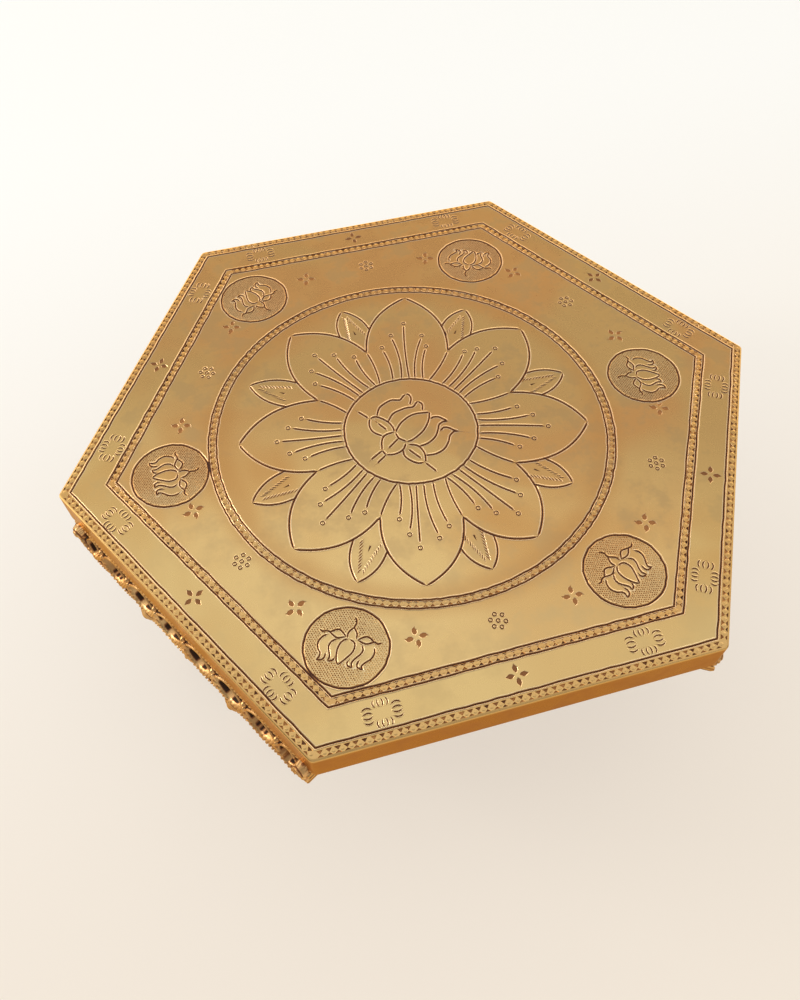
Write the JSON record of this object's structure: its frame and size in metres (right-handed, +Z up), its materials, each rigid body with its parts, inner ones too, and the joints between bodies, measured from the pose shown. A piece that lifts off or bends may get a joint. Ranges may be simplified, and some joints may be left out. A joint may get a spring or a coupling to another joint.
{
  "type": "low ritual table",
  "caption": "Low hexagonal table with a chased brass top over a wooden board, pierced vine friezes on alternate sides and six cast legs.",
  "frame": {"origin": "on the floor under the middle of the top", "axes": "+Z up, a corner of the top on +X, a bare straight side across -Y"},
  "size_m": [0.412, 0.3573, 0.12],
  "materials": {
    "sheet_brass": "chased sheet brass with dark patina in the lines",
    "cast_brass": "polished casting with dark patina in the hollows",
    "board_wood": "sawn, unvarnished",
    "batten_wood": "sawn, unvarnished",
    "screw_steel": "dull slotted screws"
  },
  "bodies": {
    "root": {"top_cap": "sheet_brass", "plank_1": "board_wood", "plank_2": "board_wood", "plank_3": "board_wood", "plank_4": "board_wood", "plank_5": "board_wood", "batten_left": "batten_wood", "batten_right": "batten_wood", "leg_1": "cast_brass", "leg_2": "cast_brass", "leg_3": "cast_brass", "leg_4": "cast_brass", "leg_5": "cast_brass", "leg_6": "cast_brass", "frieze_1": "cast_brass", "frieze_2": "cast_brass", "frieze_3": "cast_brass", "leg_screws": "screw_steel", "frieze_screws": "screw_steel", "batten_screws": "screw_steel"}
  },
  "joints": []
}
